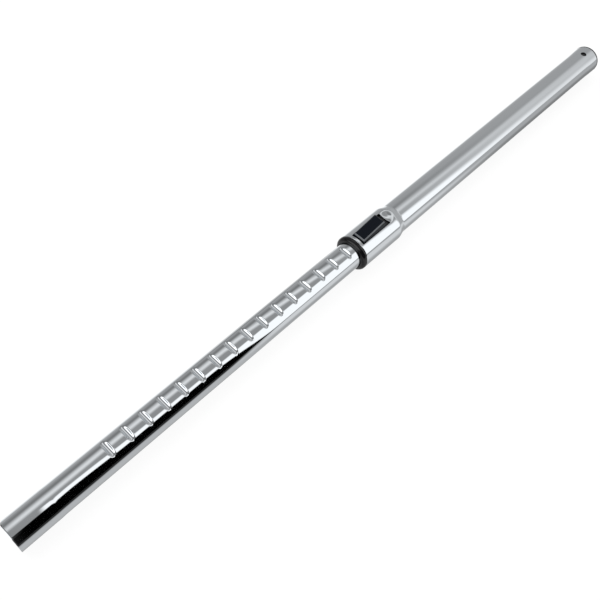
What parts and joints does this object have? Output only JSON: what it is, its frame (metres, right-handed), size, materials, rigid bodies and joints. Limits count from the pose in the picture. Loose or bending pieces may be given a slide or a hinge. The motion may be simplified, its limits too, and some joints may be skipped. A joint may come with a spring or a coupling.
{
  "type": "telescopic vacuum wand",
  "caption": "Chromed two-part telescopic vacuum cleaner wand with a notched lower tube, a swaged collar and a black slide button that frees its lock.",
  "frame": {"origin": "centre of the lower tube's open end, where the floor head pushes on", "axes": "+X along the wand towards the handle's end, +Z out of the side that carries the button and the notches"},
  "size_m": [0.9532, 0.0422, 0.0489],
  "materials": {
    "chrome": "bright chrome plating on thin steel tube",
    "steel": "plain zinc-plated steel",
    "black_plastic": "moulded black plastic with a slight sheen",
    "button_plastic": "moulded black plastic, semi gloss",
    "felt": "pressed grey felt",
    "seal_rubber": "soft black rubber"
  },
  "bodies": {
    "upper_section": {"upper_tube": "chrome", "socket_liner": "black_plastic", "end_ring": "black_plastic", "wiper_ring": "felt", "guide_shell_top": "black_plastic", "guide_shell_bottom": "black_plastic", "return_spring": "steel"},
    "lower_section": {"lower_tube": "chrome", "guide_bush": "black_plastic", "bush_seal": "seal_rubber"},
    "button": {"slide_button": "button_plastic"},
    "bolt": {"lock_bolt": "steel"}
  },
  "joints": [
    {"name": "tube_slide", "type": "slide", "parent": "upper_section", "child": "lower_section", "axis": [1, 0, 0], "range_m": [0, 0.3638]},
    {"name": "button_slide", "type": "slide", "parent": "upper_section", "child": "button", "axis": [-1, 0, 0], "range_m": [-0.00393, 0.0004], "stiffness_N_per_m": 400, "springref_m": -0.0055, "deforming": ["return_spring"]},
    {"name": "bolt_lift", "type": "slide", "parent": "upper_section", "child": "bolt", "axis": [0, 0, 1], "range_m": [-0.00275, 0.00028]}
  ],
  "couplings": [
    {"joint": "bolt_lift", "follows": "button_slide", "ratio": 0.7}
  ]
}
